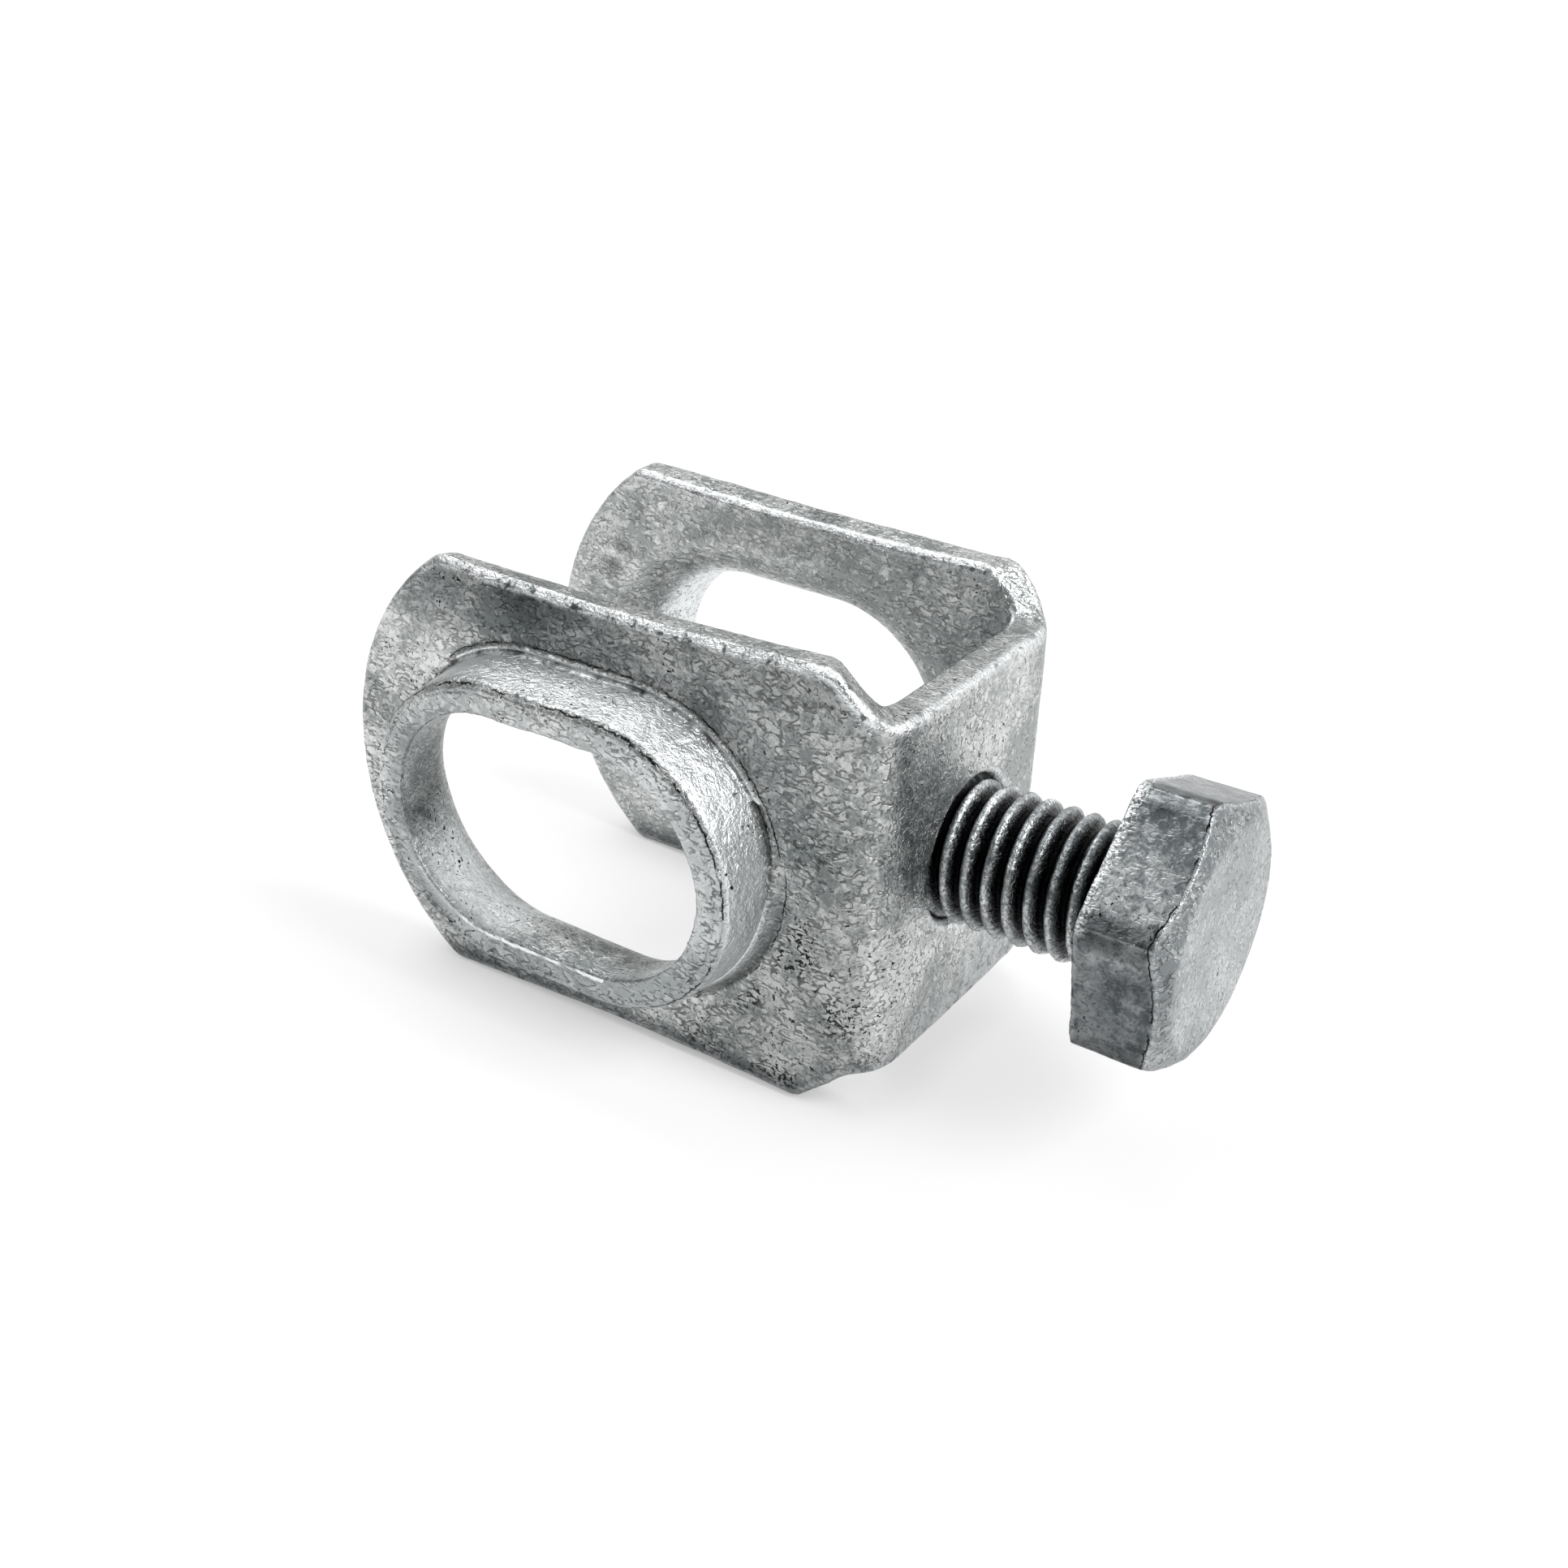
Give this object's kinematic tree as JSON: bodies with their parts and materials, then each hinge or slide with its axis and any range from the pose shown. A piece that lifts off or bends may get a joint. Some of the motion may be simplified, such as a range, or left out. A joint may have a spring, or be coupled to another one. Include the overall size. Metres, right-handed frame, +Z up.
{
  "type": "rod and conductor clamp",
  "caption": "Galvanised steel clamp: a U-bent strap with oblong, drawn-collar windows in its ears and a hexagon screw through its web that presses a rod and a conductor together.",
  "frame": {"origin": "centre of the rod seat, the round free end of the windows, midway between the two ears", "axes": "+X along the screw towards its head, +Y across the ears along the rod, +Z up; the clamp stands on the long edges of its ears"},
  "size_m": [0.0604, 0.034, 0.0316],
  "materials": {
    "galvanised_strap": "hot-dip galvanised, crinkled matt zinc",
    "galvanised_screw": "hot-dip galvanised, darker and smoother zinc"
  },
  "bodies": {
    "strap": {"clamp_body": "galvanised_strap"},
    "screw": {"clamp_bolt": "galvanised_screw"}
  },
  "joints": [
    {"name": "screw_feed", "type": "slide", "parent": "strap", "child": "screw", "axis": [1, 0, 0], "range_m": [-0.0116, 0.0107]}
  ]
}
